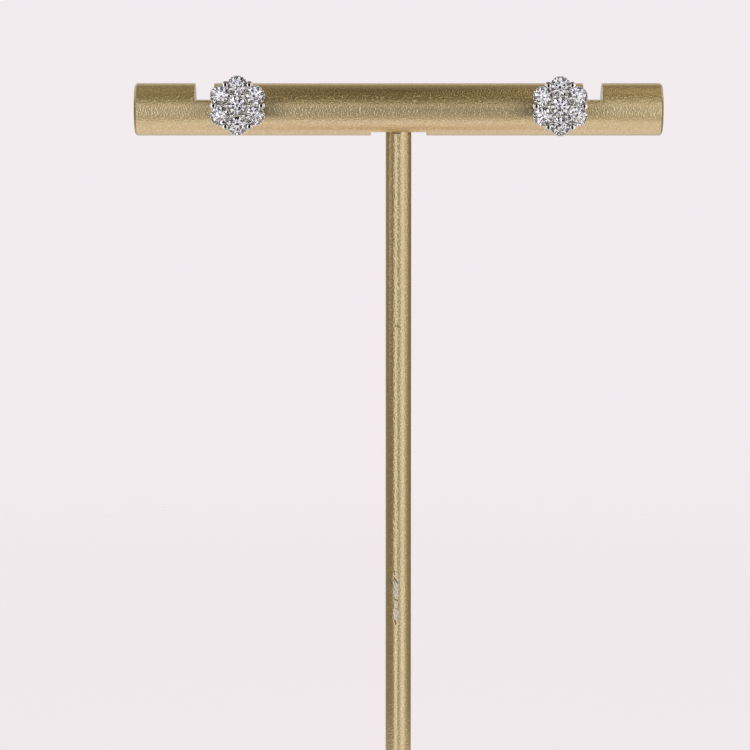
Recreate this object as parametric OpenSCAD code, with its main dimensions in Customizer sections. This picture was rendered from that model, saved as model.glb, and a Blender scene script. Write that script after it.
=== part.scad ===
// A pair of flower cluster stud earrings on a plain T-bar display stand.
// Millimetres. +Z is up, the stones face -Y, and the origin is the middle of the base's underside.

/* [Stand] */
// Height from the table to the top of the crossbar
stand_h = 100; // [92:1:140]
// Diameter of the round base
base_d = 46; // [36:1:60]
// Thickness of the base
base_t = 5; // [4:0.5:8]
// Radius that rounds the base's upper edge
base_edge_r = 1.2; // [0.4:0.1:2]
// Chamfer round the base's lower edge
base_chamfer = 0.4; // [0.2:0.1:0.8]
// Diameter of the mast
mast_d = 3; // [2.5:0.01:3.4]
// How deep the mast sits in the base
mast_in_base = 4; // [2.5:0.1:4]

/* [Crossbar] */
// Length of the crossbar
bar_l = 61.1; // [56:0.1:80]
// Diameter of the crossbar
bar_d = 6.08; // [5.6:0.01:7]
// Radius that rounds the crossbar's two end edges
bar_edge_r = 0.3; // [0.1:0.05:0.6]
// Distance of each notch's middle from the mast's axis
notch_x = 22.45; // [22:0.05:26]
// Width of a notch
notch_w = 2.2; // [1.6:0.1:3]
// Depth of a notch below the top of the bar
notch_depth = 1.95; // [1:0.05:2.2]
// Length of the flat milled under the bar for the mast
saddle_w = 6.45; // [5:0.05:8]
// Depth of that flat
saddle_depth = 0.42; // [0.2:0.01:0.6]
// How deep the mast sits in the bar above the flat
mast_in_bar = 2.2; // [1.5:0.1:2.4]

/* [Earring places] */
// Distance of each earring's post from the mast's axis
post_x = 18.52; // [17:0.01:18.6]
// Height of the posts' holes above the bar's axis
post_rise = 0.49; // [0:0.01:0.6]
// How far the left post rests above its hole's middle, and the right one below it
post_sag = 0.04; // [0:0.01:0.08]
// Diameter of the hole drilled through the bar for a post
post_hole_d = 1.1; // [1:0.05:1.3]

/* [Flower head] */
// Diameter of a petal stone
petal_d = 2.14; // [2:0.01:2.16]
// Diameter of the centre stone
centre_d = 2.2; // [2:0.01:2.24]
// Radius of the ring on which the petal stones sit
ring_r = 2.28; // [2.26:0.01:2.3]
// Lean of the petal stones away from the centre, in degrees
petal_tilt = 8; // [0:1:12]
// Height of the petal stones' girdles above the back of the head
petal_z = 1.95; // [1.8:0.05:2.2]
// Height of the centre stone's girdle above the back of the head
centre_z = 2.15; // [1.9:0.05:2.4]
// Width of the metal rim that shows round each stone
rim_w = 0.12; // [0.11:0.01:0.14]
// Radius of the ring on which the outer prongs' balls sit
outer_prong_r = 2.75; // [2.66:0.01:2.76]
// Radius of the ball on each of the six outer prongs
outer_ball_r = 0.32; // [0.26:0.01:0.36]
// Radius of the ball on each of the six inner prongs
inner_ball_r = 0.24; // [0.2:0.01:0.28]
// Thickness of the back plate
plate_t = 0.45; // [0.35:0.05:0.6]
// Diameter of the post
post_d = 0.8; // [0.7:0.05:0.9]
// Length of the post
post_l = 10; // [9.5:0.1:12]

/* [Cut of the stones] */
// Angle of the crown facets to the girdle
crown_angle = 34.5; // [30:0.5:38]
// Angle of the pavilion facets to the girdle
pavilion_angle = 40.75; // [39:0.25:43]
// Width of the table as a share of the stone's diameter
table_share = 0.55; // [0.5:0.01:0.62]
// Thickness of the girdle as a share of the stone's diameter
girdle_share = 0.03; // [0.02:0.005:0.05]
// How far the star facets reach from the table to the girdle, as a share
star_share = 0.5; // [0.4:0.05:0.6]
// How near the culet the lower halves reach, as a share of the radius
lower_share = 0.23; // [0.2:0.01:0.3]
// How far each petal stone is turned in its seat from the one before, in degrees
stone_turn = 29; // [0:1:44]

/* [Clutch] */
// Diameter of the clutch's plate
clutch_d = 4.8; // [4:0.1:6]
// Thickness of the clutch's sheet metal
clutch_t = 0.3; // [0.25:0.05:0.4]
// Outer radius of the two rolled scrolls that grip the post
scroll_r = 0.95; // [0.8:0.05:1.1]
// Width of the scrolls
scroll_w = 2.2; // [1.8:0.1:2.6]

/* [Hidden] */
$fn = 48;
petals = 6;
sides = ["left", "right"];

gold = [0.72, 0.6, 0.38];
white_metal = [0.83, 0.84, 0.86];
clear_stone = [0.9, 0.95, 1];

fit_gap = 0.03;
stone_gap = 0.02;
seat_gap = 0.05;
bar_z = stand_h - bar_d / 2;
saddle_z = bar_z - bar_d / 2 + saddle_depth;
mast_bottom = base_t - mast_in_base;
mast_top = saddle_z + mast_in_bar;
post_z = bar_z + post_rise;
petal_step = 360 / petals;
first_petal = 90;

inner_prong_r = ring_r / sqrt(3);
outer_shaft_r = 0.2;
inner_shaft_r = 0.18;
outer_foot_r = 1.95;
prong_foot_z = 0.22;
outer_ball_z = petal_z + 0.15;
inner_ball_z = centre_z + 0.09;
web_r = 0.42;
web_t = 0.3;
web_top_z = petal_z - 0.15;
collar_h = 0.55;
collar_bore = 0.8;
plate_ring_r = 1.75;
plate_lobe_r = 1;
azure_r = 0.45;
groove_depth = 0.07;
groove_w = 0.5;
groove_from_tip = 1.3;
post_tip_h = 0.3;
scroll_sink = 0.1;
scroll_bite = 0.02;
through = 1;

// The stand

module stand_bar() {
    color(gold)
    difference() {
        translate([-bar_l / 2, 0, bar_z]) rotate([0, 90, 0]) rounded_rod(bar_d / 2, bar_l, bar_edge_r);
        for (s = [-1, 1]) {
            translate([s * notch_x - notch_w / 2, -bar_d, bar_z + bar_d / 2 - notch_depth])
                cube([notch_w, 2 * bar_d, bar_d]);
            translate([s * post_x, bar_d, post_z]) rotate([90, 0, 0])
                cylinder(d = post_hole_d, h = 2 * bar_d);
        }
        translate([-saddle_w / 2, -bar_d, saddle_z - bar_d]) cube([saddle_w, 2 * bar_d, bar_d]);
        translate([0, 0, saddle_z - through])
            cylinder(d = mast_d + 2 * fit_gap, h = mast_in_bar + fit_gap + through);
    }
}

// A rod along +Z from the origin, with both end edges rounded
module rounded_rod(r, l, edge_r) {
    rotate_extrude() {
        square([r - edge_r, l]);
        translate([0, edge_r]) square([r, l - 2 * edge_r]);
        for (z = [edge_r, l - edge_r])
            translate([r - edge_r, z]) circle(edge_r);
    }
}

module stand_mast() {
    color(gold)
    translate([0, 0, mast_bottom + fit_gap]) cylinder(d = mast_d, h = mast_top - mast_bottom - fit_gap);
}

module stand_base() {
    color(gold)
    difference() {
        rotate_extrude() {
            square([base_d / 2 - base_edge_r, base_t]);
            translate([base_d / 2 - base_edge_r, base_t - base_edge_r]) circle(base_edge_r);
            polygon([
                [0, 0],
                [base_d / 2 - base_chamfer, 0],
                [base_d / 2, base_chamfer],
                [base_d / 2, base_t - base_edge_r],
                [0, base_t - base_edge_r]]);
        }
        translate([0, 0, mast_bottom]) cylinder(d = mast_d + 2 * fit_gap, h = base_t);
    }
}

// The earrings. A head is drawn lying on its back plate with the stones facing +Z,
// and at_bar stands it up in front of the bar with the stones facing -Y.

function side_sign(side) = side == "left" ? -1 : 1;
function petal_angle(k) = first_petal - (k - 1) * petal_step;
function crevice_angle(k) = petal_angle(k) - petal_step / 2;

// Height of a side's post, which doesn't rest in quite the same place in its hole as the other
function rest_z(side) = post_z - side_sign(side) * post_sag;

module at_bar(side) {
    translate([side_sign(side) * post_x, -bar_d / 2 - seat_gap, rest_z(side)]) rotate([90, 0, 0]) children();
}

// Places something drawn on a stone's own axis, with its girdle at z = 0, where petal k sits
module at_petal(k) {
    rotate(petal_angle(k)) translate([ring_r, 0, petal_z]) rotate([0, petal_tilt, 0]) children();
}

module at_centre() {
    translate([0, 0, centre_z]) children();
}

module setting(side) {
    color(white_metal)
    at_bar(side) {
        difference() {
            union() {
                back_plate();
                for (k = [1:petals]) {
                    at_petal(k) collar(petal_d);
                    rotate(crevice_angle(k)) {
                        crevice_web();
                        outer_prong();
                        inner_prong();
                    }
                }
                at_centre() collar(centre_d);
            }
            for (k = [1:petals])
                at_petal(k) stone_room(petal_d);
            at_centre() stone_room(centre_d);
        }
        post();
    }
}

// The plate behind the stones: six lobes round a middle one, each petal's lobe pierced behind its stone
module back_plate() {
    difference() {
        linear_extrude(plate_t) {
            circle(plate_ring_r);
            for (k = [1:petals])
                rotate(petal_angle(k)) translate([plate_ring_r, 0]) circle(plate_lobe_r);
        }
        for (k = [1:petals])
            rotate(petal_angle(k)) translate([plate_ring_r, 0, -through])
                cylinder(r = azure_r, h = plate_t + 2 * through);
    }
}

// The short tube that a stone rests in
module collar(d) {
    translate([0, 0, -collar_h]) cylinder(r = d / 2 + rim_w, h = collar_h);
}

// The web of metal that fills the notch between two petals behind an outer prong
module crevice_web() {
    translate([outer_prong_r, 0, web_top_z - web_t]) cylinder(r = web_r, h = web_t);
}

module outer_prong() {
    rise = outer_ball_z - prong_foot_z;
    reach = outer_prong_r - outer_foot_r;
    translate([outer_foot_r, 0, prong_foot_z]) rotate([0, atan2(reach, rise), 0])
        cylinder(r = outer_shaft_r, h = sqrt(rise * rise + reach * reach));
    translate([outer_prong_r, 0, outer_ball_z]) sphere(outer_ball_r);
}

module inner_prong() {
    translate([inner_prong_r, 0, prong_foot_z]) cylinder(r = inner_shaft_r, h = inner_ball_z - prong_foot_z);
    translate([inner_prong_r, 0, inner_ball_z]) sphere(inner_ball_r);
}

// The room cut for a stone: its own outline with a hair of clearance, and the collar's bore below it
module stone_room(d) {
    r = d / 2 + stone_gap;
    girdle = girdle_share * d / 2 + stone_gap / 2;
    crown_w = (1 - table_share) * d / 2;
    bore_r = collar_bore * d / 2;
    seat_h = (r - bore_r) * tan(pavilion_angle);
    rotate_extrude() polygon([
        [0, -collar_h - stone_gap],
        [bore_r, -collar_h - stone_gap],
        [bore_r, -girdle - seat_h],
        [r, -girdle],
        [r, girdle],
        [r - crown_w, girdle + crown_w * tan(crown_angle)],
        [0, girdle + crown_w * tan(crown_angle)]]);
}

// The post stands out from the back of the head, with a groove near its tapered tip for the clutch
module post() {
    r = post_d / 2;
    end = plate_t / 2 + post_l;
    groove_end = end - groove_from_tip;
    groove_start = groove_end - groove_w;
    rotate([180, 0, 0]) translate([0, 0, -plate_t / 2])
        rotate_extrude() polygon([
            [0, 0],
            [r, 0],
            [r, groove_start],
            [r - groove_depth, groove_start + groove_depth],
            [r - groove_depth, groove_end - groove_depth],
            [r, groove_end],
            [r, end - post_tip_h],
            [r / 2, end],
            [0, end]]);
}

// The butterfly nut: a round plate against the back of the bar and two rolled scrolls that grip the post
module clutch(side) {
    bore_r = post_d / 2 + fit_gap;
    scroll_x = bore_r + scroll_r - scroll_bite;
    color(white_metal)
    translate([side_sign(side) * post_x, bar_d / 2 + seat_gap, rest_z(side)]) rotate([-90, 0, 0])
        difference() {
            union() {
                cylinder(d = clutch_d, h = clutch_t);
                for (s = [-1, 1])
                    translate([s * scroll_x, scroll_w / 2, clutch_t + scroll_r - scroll_sink])
                        rotate([90, 0, 0]) difference() {
                            cylinder(r = scroll_r, h = scroll_w);
                            translate([0, 0, -through]) cylinder(r = scroll_r - clutch_t, h = scroll_w + 2 * through);
                        }
            }
            translate([0, 0, -through]) cylinder(r = bore_r, h = clutch_t + 2 * scroll_r + 2 * through);
        }
}

// The stones: round brilliants with 57 facets and a 16-sided girdle, drawn with the girdle's middle at z = 0

// Point number k of a ring of 16 at radius r and height z
function ring_point(r, k, z) = [r * cos(k * 22.5), r * sin(k * 22.5), z];

module brilliant(d) {
    r = d / 2;
    girdle = girdle_share * r;
    edge = cos(22.5);
    table_r = table_share * r;
    table_z = girdle + (r - table_r) * tan(crown_angle);
    star_r = table_r * edge + star_share * (r - table_r * edge);
    star_z = girdle + (r - star_r * edge) * tan(crown_angle);
    lower_r = lower_share * r;
    lower_z = -girdle - (r - lower_r * edge) * tan(pavilion_angle);
    culet_z = -girdle - r * tan(pavilion_angle);

    // Rings of points: table 0-7, star tips 8-15, upper girdle 16-31, lower girdle 32-47, lower tips 48-55, culet 56
    points = concat(
        [for (k = [0:7]) ring_point(table_r, 2 * k, table_z)],
        [for (k = [0:7]) ring_point(star_r, 2 * k + 1, star_z)],
        [for (k = [0:15]) ring_point(r, k, girdle)],
        [for (k = [0:15]) ring_point(r, k, -girdle)],
        [for (k = [0:7]) ring_point(lower_r, 2 * k + 1, lower_z)],
        [[0, 0, culet_z]]);
    table = [[for (k = [7:-1:0]) k]];
    stars = [for (k = [0:7]) [k, (k + 1) % 8, 8 + k]];
    kites = [for (k = [0:7]) [k, 8 + k, 16 + 2 * k, 8 + (k + 7) % 8]];
    upper_halves = [for (k = [0:7]) each [
        [8 + k, 17 + 2 * k, 16 + 2 * k],
        [8 + k, 16 + (2 * k + 2) % 16, 17 + 2 * k]]];
    girdle_faces = [for (k = [0:15]) [16 + k, 16 + (k + 1) % 16, 32 + (k + 1) % 16, 32 + k]];
    lower_halves = [for (k = [0:7]) each [
        [32 + 2 * k, 33 + 2 * k, 48 + k],
        [33 + 2 * k, 32 + (2 * k + 2) % 16, 48 + k]]];
    mains = [for (k = [0:7]) [32 + 2 * k, 48 + k, 56, 48 + (k + 7) % 8]];
    color(clear_stone)
    polyhedron(points, concat(table, stars, kites, upper_halves, girdle_faces, lower_halves, mains));
}

module stone_centre(side) {
    at_bar(side) at_centre() brilliant(centre_d);
}

module stone_petal(k, side) {
    at_bar(side) at_petal(k) rotate((k + max(0, side_sign(side)) / 2) * stone_turn) brilliant(petal_d);
}

stand_bar();
stand_mast();
stand_base();
for (side = sides) {
    setting(side);
    clutch(side);
    stone_centre(side);
    for (k = [1:petals])
        stone_petal(k, side);
}
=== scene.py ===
# %% [markdown]
# # A pair of flower cluster stud earrings on a T-bar stand
# This lesson dresses a finished model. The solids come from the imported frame, and nothing here moves them.
# What is left to do is what a camera sees: blasted gold-tone metal, polished white metal, cut stones, soft
# studio light, and the fine shapes that a solid model leaves out. The scene is in metres, with +Z up, and
# the stones face -Y.

# %% The frame
import math

import bmesh
import bpy
import numpy as np
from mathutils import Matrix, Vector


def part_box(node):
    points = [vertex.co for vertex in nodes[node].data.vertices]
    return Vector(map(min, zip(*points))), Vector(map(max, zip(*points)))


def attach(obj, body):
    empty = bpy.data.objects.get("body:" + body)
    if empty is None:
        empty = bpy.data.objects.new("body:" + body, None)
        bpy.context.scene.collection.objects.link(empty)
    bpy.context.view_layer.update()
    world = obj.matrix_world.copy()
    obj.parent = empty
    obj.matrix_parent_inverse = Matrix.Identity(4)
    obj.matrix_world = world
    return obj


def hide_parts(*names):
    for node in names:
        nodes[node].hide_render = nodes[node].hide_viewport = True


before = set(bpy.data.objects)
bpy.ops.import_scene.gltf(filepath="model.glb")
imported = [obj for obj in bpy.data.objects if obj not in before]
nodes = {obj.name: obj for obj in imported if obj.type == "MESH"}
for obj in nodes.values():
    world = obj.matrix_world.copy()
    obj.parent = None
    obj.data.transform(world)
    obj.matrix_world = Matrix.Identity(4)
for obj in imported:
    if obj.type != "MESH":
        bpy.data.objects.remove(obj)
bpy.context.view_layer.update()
MM = 0.001
SIDES = ("left", "right")
scene = bpy.context.scene

# %% [markdown]
# ## The places that everything else hangs on
# The bar's axis, the mast's width and the two earrings' places are read back from the solids, so that a
# change to the model moves the camera and the new pieces with it.

# %% Places read from the solids
bar_lo, bar_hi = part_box("stand_bar")
mast_lo, mast_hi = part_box("stand_mast")
BAR_R = (bar_hi.y - bar_lo.y) / 2
BAR_Z = bar_hi.z - BAR_R
BAR_HALF = (bar_hi.x - bar_lo.x) / 2
MAST_R = (mast_hi.x - mast_lo.x) / 2
print("bar axis height", round(BAR_Z / MM, 2), "mm, bar radius", round(BAR_R / MM, 2), "mm")

# %% [markdown]
# ## The camera
# The photograph was taken from a little over 40 cm away, just above the height of the bar and tipped down
# by 5 degrees, so the bar is seen almost level and the thin mast runs down out of the picture. A long lens
# does the same here.

# %% The camera
CAMERA_DISTANCE = 0.420
CAMERA_ABOVE_BAR = 0.00965
CAMERA_SIDE = -0.00273
CAMERA_TIP = math.radians(5.525)
LENS_MM = 173.3


def placed(name, data):
    """A new object in the scene, made of this data."""
    thing = bpy.data.objects.new(name, data)
    scene.collection.objects.link(thing)
    return thing


camera = placed("camera", bpy.data.cameras.new("camera"))
camera.location = (CAMERA_SIDE, -CAMERA_DISTANCE, BAR_Z + CAMERA_ABOVE_BAR)
camera.rotation_euler = (math.pi / 2 - CAMERA_TIP, 0, 0)
camera.data.lens = LENS_MM
camera.data.clip_start, camera.data.clip_end = 0.01, 20
scene.camera = camera
seen_width = CAMERA_DISTANCE * camera.data.sensor_width / LENS_MM
print("the picture is", round(seen_width / MM), "mm wide at the bar")

# %% [markdown]
# ## The studio
# Polished and blasted metal show their surroundings, so the surroundings are half of the finish. The
# photo's metal tells them: bright walls left and right of the camera with a dark gap between them, a dimmer
# room to the sides, a dark ceiling, a bright table and a pale backdrop. The world shader paints all of this
# by direction, with ramps over the height and round the room. Low down the gap is a little less dark,
# because the table lights it from below. The camera itself sees one even backdrop in place of all this.

# %% Kinds of node that come back all the time
def feed(tree, socket, value):
    """Gives an input a value: another node's socket is linked to it, a number or a colour is set on it."""
    if isinstance(value, bpy.types.NodeSocket):
        tree.links.new(value, socket)
    else:
        socket.default_value = value


def math_node(tree, operation, first, second=0):
    """One Math node; first and second are sockets or numbers."""
    node = tree.nodes.new("ShaderNodeMath")
    node.operation = operation
    feed(tree, node.inputs[0], first)
    feed(tree, node.inputs[1], second)
    return node.outputs[0]


def mix_node(tree, share, first, second):
    """A colour that runs from first to second with share; each is a socket or a colour."""
    node = tree.nodes.new("ShaderNodeMix")
    node.data_type = "RGBA"
    inputs = {socket.identifier: socket for socket in node.inputs}
    for label, value in (("Factor_Float", share), ("A_Color", first), ("B_Color", second)):
        feed(tree, inputs[label], value)
    return next(socket for socket in node.outputs if socket.identifier == "Result_Color")


def range_node(tree, value, span, to=(0, 1), kind="LINEAR"):
    """Takes value from the two ends of span to the two ends of to, and no further."""
    node = tree.nodes.new("ShaderNodeMapRange")
    node.interpolation_type = kind
    for label, number in zip(("From Min", "From Max", "To Min", "To Max"), (*span, *to)):
        node.inputs[label].default_value = number
    tree.links.new(value, node.inputs["Value"])
    return node.outputs[0]


def ramp_node(tree, value, stops, kind="LINEAR"):
    """A colour ramp over value, with its stops as (position, colour)."""
    node = tree.nodes.new("ShaderNodeValToRGB")
    node.color_ramp.interpolation = kind
    elements = node.color_ramp.elements
    while len(elements) < len(stops):
        elements.new(0.5)
    for element, (position, colour) in zip(elements, stops):
        element.position = position
        element.color = (*colour, 1)
    tree.links.new(value, node.inputs["Fac"])
    return node.outputs["Color"]


def shader_mix(tree, share, first, second):
    """A shader that runs from first to second with share."""
    node = tree.nodes.new("ShaderNodeMixShader")
    for socket, source in zip(node.inputs, (share, first, second)):
        tree.links.new(source, socket)
    return node.outputs[0]


# %% A ramp over degrees
COOL_LIGHT = (1.0, 1.0, 1.05)
WARM_WALL = (1.0, 0.83, 0.52)


def studio_colour(level):
    """Dim walls are warm and bright ones a little cool; the tint slides between them with the level."""
    share = min(level, 1.0)
    return [level * (w + (c - w) * share) for w, c in zip(WARM_WALL, COOL_LIGHT)]


def degree_ramp(tree, degrees, low, high, stops):
    """A ramp that turns an angle between low and high into light, with its stops as (degrees, radiance)."""
    stops = [((angle - low) / (high - low), studio_colour(level)) for angle, level in stops]
    return ramp_node(tree, range_node(tree, degrees, (low, high)), stops)


# %% The walls and the ceiling, painted by direction
BACKDROP = (0.885, 0.838, 0.862)
FRONT_BY_HEIGHT = (
    (-90, 1.0), (-62, 0.8), (-45, 0.58), (-20, 0.48), (10, 0.52), (22, 0.45), (30, 0.16), (38, 0.03),
    (72, 0.02), (90, 0.12))
BACK_BY_HEIGHT = (
    (-90, 1.0), (-62, 0.8), (-40, 0.7), (-10, 0.7), (25, 0.75), (45, 0.42), (60, 0.3), (75, 0.25),
    (90, 0.12))
ROUND_THE_ROOM = (
    (-180, 0.7), (-150, 0.5), (-125, 0.28), (-60, 0.28), (-44, 0.34), (-34, 0.85), (-26, 1.0), (-12, 1.05),
    (-7, 0.02), (7, 0.02), (14, 0.75), (24, 0.85), (32, 1.0), (52, 0.95), (64, 0.6), (90, 0.36),
    (140, 0.22), (160, 0.4), (180, 0.7))
GAP_LOWER_DOWN, GAP_FADES = 0.07, (-14, -3)
BAND_BELOW, BAND_ABOVE = (-34, -24), (24, 12)
BEHIND = (-0.15, 0.15)

world = bpy.data.worlds.new("studio")
scene.world = world
world.use_nodes = True
tree = world.node_tree
tree.nodes.clear()
direction = tree.nodes.new("ShaderNodeTexCoord")
split = tree.nodes.new("ShaderNodeSeparateXYZ")
tree.links.new(direction.outputs["Generated"], split.inputs[0])
elevation = math_node(tree, "DEGREES", math_node(tree, "ARCSINE", split.outputs["Z"]))
toward_camera = math_node(tree, "MULTIPLY", split.outputs["Y"], -1)
azimuth = math_node(tree, "DEGREES", math_node(tree, "ARCTAN2", split.outputs["X"], toward_camera))
front = degree_ramp(tree, elevation, -90, 90, FRONT_BY_HEIGHT)
back = degree_ramp(tree, elevation, -90, 90, BACK_BY_HEIGHT)
front_or_back = mix_node(tree, range_node(tree, split.outputs["Y"], BEHIND), front, back)
around = degree_ramp(tree, azimuth, -180, 180, ROUND_THE_ROOM)
lower_stops = [(angle, max(level, GAP_LOWER_DOWN)) for angle, level in ROUND_THE_ROOM]
around_low = degree_ramp(tree, azimuth, -180, 180, lower_stops)
around = mix_node(tree, range_node(tree, elevation, GAP_FADES), around_low, around)
band = math_node(
    tree, "MINIMUM", range_node(tree, elevation, BAND_BELOW), range_node(tree, elevation, BAND_ABOVE))
room = mix_node(tree, band, front_or_back, around)
room_light = tree.nodes.new("ShaderNodeBackground")
tree.links.new(room, room_light.inputs["Color"])
seen_light = tree.nodes.new("ShaderNodeBackground")
seen_light.inputs["Color"].default_value = (*BACKDROP, 1)
path = tree.nodes.new("ShaderNodeLightPath")
seen_or_room = shader_mix(
    tree, path.outputs["Is Camera Ray"], room_light.outputs[0], seen_light.outputs[0])
print("the room is painted by", len(tree.nodes), "nodes")

# %% [markdown]
# ## What the stones see
# A cut stone gathers light from many small directions, so in a smooth room it looks like grey glass. A real
# room is full of small things, most of them dark and some very bright, and the photo's stones show them as
# hard black and white flecks. A pattern of cells stands in for those things here. Only light that has gone
# through a stone sees it, so the metal beside the stones stays calm.

# %% A dark room full of small bright things
SPARKLE_CELLS = 2.6
SPARKLE_SEED = 7.3
SPARKLE_LEVELS = ((0, 0.0), (0.5, 0.04), (0.66, 0.38), (0.79, 1.1), (0.91, 2.4))
SPARKLE_TINTS = (
    (0, (1.0, 0.90, 0.70)), (0.4, (1.0, 0.97, 0.92)), (0.7, (1.0, 0.93, 1.06)), (1, (0.80, 0.92, 1.0)))

cells = tree.nodes.new("ShaderNodeTexVoronoi")
cells.voronoi_dimensions = "4D"
cells.inputs["Scale"].default_value = SPARKLE_CELLS
cells.inputs["W"].default_value = SPARKLE_SEED
tree.links.new(direction.outputs["Generated"], cells.inputs["Vector"])
cell_number = tree.nodes.new("ShaderNodeSeparateColor")
tree.links.new(cells.outputs["Color"], cell_number.inputs[0])
greys = [(at, (level,) * 3) for at, level in SPARKLE_LEVELS]
sparkle_light = tree.nodes.new("ShaderNodeBackground")
tree.links.new(ramp_node(tree, cell_number.outputs[0], greys, "CONSTANT"), sparkle_light.inputs["Strength"])
tree.links.new(ramp_node(tree, cell_number.outputs[1], SPARKLE_TINTS), sparkle_light.inputs["Color"])
all_light = shader_mix(
    tree, path.outputs["Is Transmission Ray"], seen_or_room, sparkle_light.outputs[0])
world_out = tree.nodes.new("ShaderNodeOutputWorld")
tree.links.new(all_light, world_out.inputs["Surface"])
print("with the stones' room:", len(tree.nodes), "nodes")

# %% [markdown]
# ## The table
# The table lies below the picture, and the underside of the bar shows it as a broad bright band. It could
# be a plain floor, but its edge would draw a line in the metal and across the background. So its paint
# fades out round the object, later for the camera than for the metal. From below it is clear, so that the
# underside can be looked at.

# %% A full turn, and a material
def full_turn(steps):
    """Angles all the way round, the last one a step short of the first."""
    return np.linspace(0, 2 * np.pi, steps, endpoint=False)


def new_material(name, settings):
    """A material, its node tree and its Principled shader, which gets the settings."""
    material = bpy.data.materials.new(name)
    material.use_nodes = True
    shader = material.node_tree.nodes["Principled BSDF"]
    for label, value in settings.items():
        shader.inputs[label].default_value = value
    return material, material.node_tree, shader


# %% The table top
TABLE_R, TABLE_DROP, TABLE_AROUND = 0.5, 2e-5, 96
CAMERA_SEES = (0.16, 0.49)
METAL_SEES = (0.05, 0.14)

turn = full_turn(TABLE_AROUND)
table_points = np.stack([TABLE_R * np.cos(turn), TABLE_R * np.sin(turn), 0 * turn - TABLE_DROP], axis=1)
table_mesh = bpy.data.meshes.new("table_top")
table_mesh.from_pydata(table_points.tolist(), [], [list(range(len(turn)))])
table = placed("table_top", table_mesh)
table.visible_transmission = False

table_paint, t, table_shader = new_material(
    "table_paint", {"Base Color": (0.88, 0.85, 0.905, 1), "Roughness": 0.9, "Specular IOR Level": 0.1})
table_place = t.nodes.new("ShaderNodeTexCoord")
table_reach = t.nodes.new("ShaderNodeVectorMath")
table_reach.operation = "LENGTH"
t.links.new(table_place.outputs["Object"], table_reach.inputs[0])
table_path = t.nodes.new("ShaderNodeLightPath")
pick = t.nodes.new("ShaderNodeMix")
t.links.new(table_path.outputs["Is Camera Ray"], pick.inputs[0])
for socket, seen in zip(pick.inputs[2:4], (METAL_SEES, CAMERA_SEES)):
    t.links.new(range_node(t, table_reach.outputs["Value"], seen, (1, 0), "SMOOTHSTEP"), socket)
table_side = t.nodes.new("ShaderNodeNewGeometry")
from_above = math_node(t, "SUBTRACT", 1, table_side.outputs["Backfacing"])
paint_there = math_node(t, "MULTIPLY", pick.outputs[0], from_above)
t.links.new(paint_there, table_shader.inputs["Alpha"])
table_mesh.materials.append(table_paint)
print("the table is", round(2 * TABLE_R / MM), "mm across")

# %% [markdown]
# ## The lights
# The painted room is the same for every piece, but the photo's bar, mast and flower heads each show panels
# that stand close to them. So each gets panels of its own, through light linking. The bar has a warm one
# high up at each side, one near each end, a tall one in front and two above. The mast has one at each side
# and a tall one in front. The flower heads have two in front, which draw a bright edge on both sides of
# every prong. One large light overhead reaches only the table and the base, so the table can be bright
# under a dark ceiling.

# %% The lights
WARM_LAMP = (1.0, 0.88, 0.62)


def soft_box(name, azimuth, elevation, distance, width, height, radiance, colour=(1, 1, 1)):
    """An area light on a sphere round the bar's middle, facing it. Azimuth 0 is the camera's side."""
    a, e = math.radians(azimuth), math.radians(elevation)
    data = bpy.data.lights.new(name, "AREA")
    data.shape = "RECTANGLE"
    data.size, data.size_y = width, height
    data.energy = radiance * math.pi * width * height
    data.color = colour
    light = placed(name, data)
    offset = np.array([math.sin(a) * math.cos(e), -math.cos(a) * math.cos(e), math.sin(e)]) * distance
    light.location = offset + np.array([0, 0, BAR_Z])
    light.rotation_euler = (math.pi / 2 - e, 0, a)
    light.visible_camera = False
    light.visible_transmission = False
    return light


bar_panels = [
    soft_box("side_panel_left", -75, 60, 0.11, 0.08, 0.08, 0.23, WARM_LAMP),
    soft_box("side_panel_right", 75, 60, 0.11, 0.08, 0.08, 0.34, WARM_LAMP),
    soft_box("end_panel_left", -42, 10, 0.07, 0.09, 0.11, 0.15),
    soft_box("end_panel_right", 40, 10, 0.07, 0.05, 0.11, 0.33),
    soft_box("front_panel", 0, 2, 0.8, 0.26, 0.9, 0.26),
    soft_box("top_panel", 0, 54, 0.3, 0.5, 0.3, 0.115, WARM_LAMP),
    soft_box("lamp", 0, 50, 0.6, 0.09, 0.08, 1.0, WARM_LAMP)]
mast_panels = [
    soft_box("mast_panel_left", -80, -4, 0.12, 0.05, 0.05, 0.3),
    soft_box("mast_panel_right", 80, -4, 0.12, 0.05, 0.05, 0.3),
    soft_box("mast_panel_front", 0, 0, 0.8, 0.26, 0.9, 0.4)]
head_panels = [
    soft_box("head_panel_left", -25, 4, 0.4, 0.14, 0.3, 1.4),
    soft_box("head_panel_right", 25, 4, 0.4, 0.14, 0.3, 1.4)]
table_light = soft_box("table_light", 0, 89.9, 0.8, 2.0, 2.0, 1.17)
print("panels for bar, mast and heads:", len(bar_panels), len(mast_panels), len(head_panels))


def light_only(panels, pieces):
    """These lights reach these pieces and nothing else."""
    lit = bpy.data.collections.new("lit_by_" + panels[0].name)
    for piece in pieces:
        lit.objects.link(piece)
    for panel in panels:
        panel.light_linking.receiver_collection = lit


shades_the_table = bpy.data.collections.new("shades_the_table")
shades_the_table.objects.link(table)
table_light.light_linking.blocker_collection = shades_the_table

# %% [markdown]
# ## Blasted gold-tone metal
# The stand is plated and then blasted with fine grit, which leaves a dull, even sparkle. A rough metal
# alone would be too even. So a bump of round grains, two tenths of a millimetre wide, turns the surface a
# little everywhere, and a tint that follows the same grains keeps them visible where the light is soft. The
# grain is a node group, because the white metal and the stones use it too.

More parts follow.
